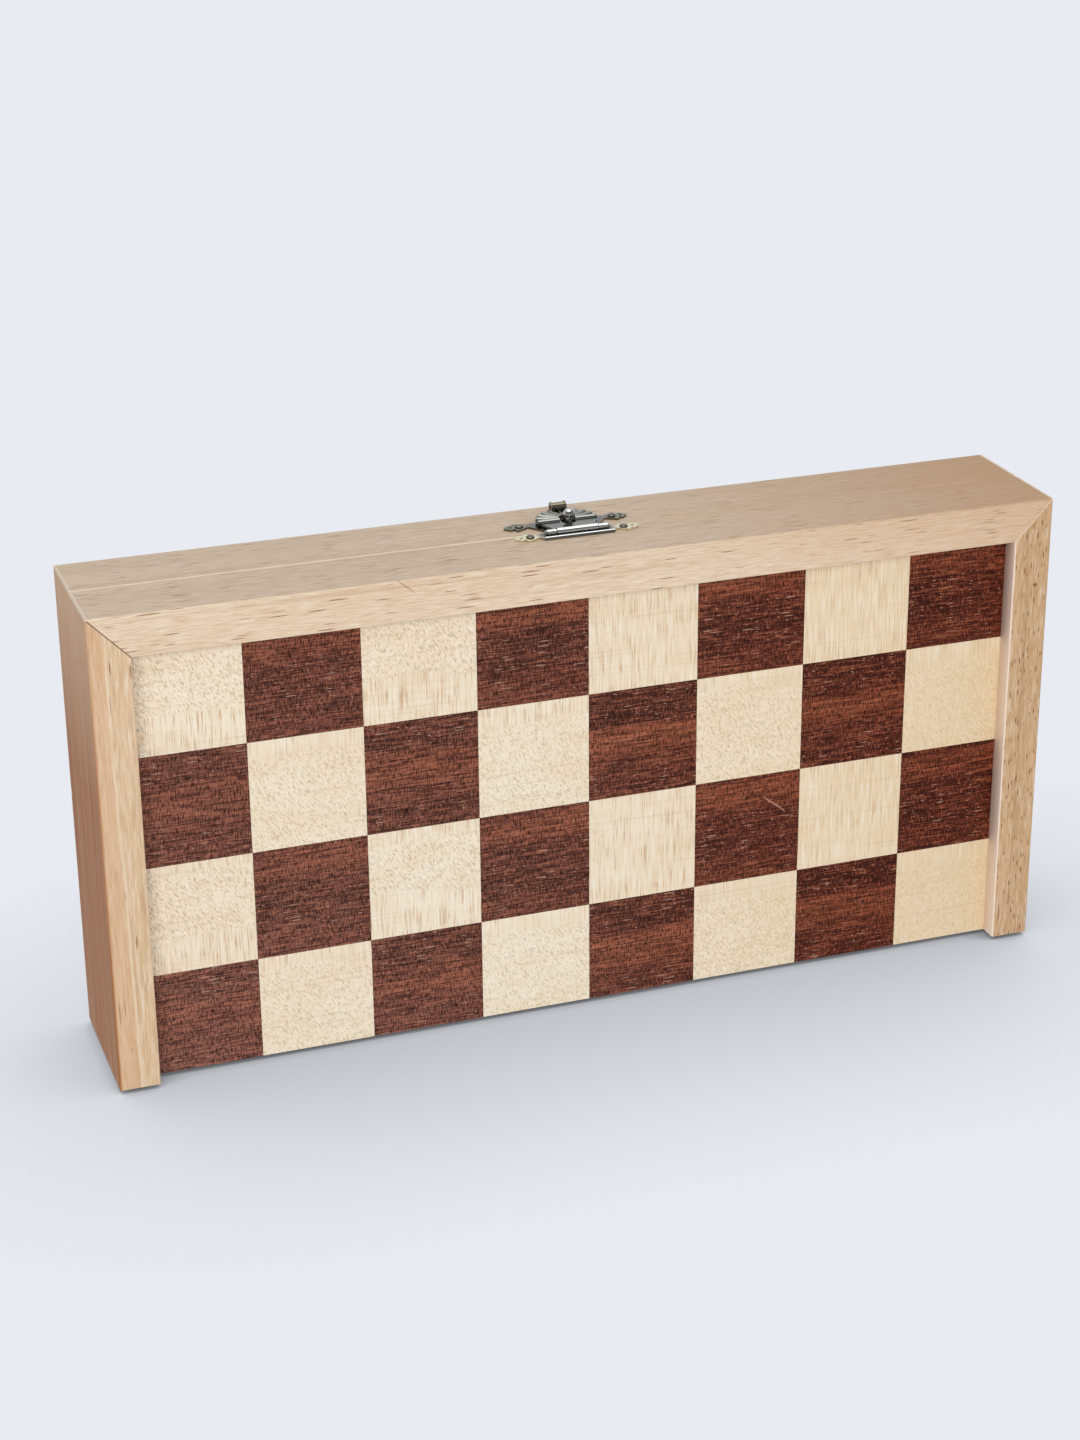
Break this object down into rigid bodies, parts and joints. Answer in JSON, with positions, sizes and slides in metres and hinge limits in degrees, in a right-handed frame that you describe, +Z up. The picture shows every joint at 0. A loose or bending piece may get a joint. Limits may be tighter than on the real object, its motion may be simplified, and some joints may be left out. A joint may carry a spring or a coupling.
{
  "type": "folding chess set",
  "caption": "Folding wooden chess case with inlaid squares, hinges along one edge, a hasp clasp, and its men stored inside in trays.",
  "frame": {"origin": "middle of the footprint, on the surface under the hinge knuckles, in the plane where the closed halves meet", "axes": "X along the case, -Y towards the front half, +Z up to the clasp"},
  "size_m": [0.3856, 0.062, 0.2005],
  "materials": {
    "beech": "satin oiled beech, frame",
    "plywood": "raw plywood",
    "maple": "satin maple veneer",
    "sapele": "satin sapele veneer",
    "felt_lining": "wool felt",
    "flocked_foam": "foam with a flocked face",
    "base_felt": "wool felt",
    "brass": "satin brass",
    "antique_brass": "antique brass, polished on the edges",
    "steel": "bright steel wire",
    "boxwood": "polished boxwood",
    "stained_wood": "polished dark stained wood"
  },
  "bodies": {
    "rear_half": {"rear_left_stile": "beech", "rear_right_stile": "beech", "rear_top_rail": "beech", "rear_hinge_rail": "beech", "rear_board": "plywood", "rear_light_squares": "maple", "rear_dark_squares": "sapele", "rear_lining": "felt_lining", "rear_tray": "flocked_foam", "left_hinge_rear_leaf": "brass", "right_hinge_rear_leaf": "brass", "left_hinge_pin": "brass", "right_hinge_pin": "brass", "rear_hinge_screws": "brass", "catch_plate": "antique_brass", "catch_nails": "antique_brass", "catch_post": "antique_brass", "dark_left_rook": "stained_wood", "dark_left_knight": "stained_wood", "dark_left_bishop": "stained_wood", "dark_queen": "stained_wood", "dark_king": "stained_wood", "dark_right_bishop": "stained_wood", "dark_right_knight": "stained_wood", "dark_right_rook": "stained_wood", "dark_pawns": "stained_wood", "dark_felts": "base_felt"},
    "front_half": {"front_left_stile": "beech", "front_right_stile": "beech", "front_top_rail": "beech", "front_hinge_rail": "beech", "front_board": "plywood", "front_light_squares": "maple", "front_dark_squares": "sapele", "front_lining": "felt_lining", "front_tray": "flocked_foam", "left_hinge_front_leaf": "brass", "right_hinge_front_leaf": "brass", "front_hinge_screws": "brass", "clasp_plate": "antique_brass", "clasp_nails": "antique_brass", "clasp_pin": "steel", "light_left_rook": "boxwood", "light_left_knight": "boxwood", "light_left_bishop": "boxwood", "light_queen": "boxwood", "light_king": "boxwood", "light_right_bishop": "boxwood", "light_right_knight": "boxwood", "light_right_rook": "boxwood", "light_pawns": "boxwood", "light_felts": "base_felt"},
    "hasp": {"hasp": "antique_brass"}
  },
  "joints": [
    {"name": "case_hinge", "type": "hinge", "parent": "rear_half", "child": "front_half", "pos_m": [0, 0, 0.0017], "axis": [1, 0, 0], "range_deg": [0, 180]},
    {"name": "hasp_pivot", "type": "hinge", "parent": "front_half", "child": "hasp", "pos_m": [0.0023, -0.0044, 0.19495], "axis": [1, 0, 0], "range_deg": [0, 170]}
  ]
}
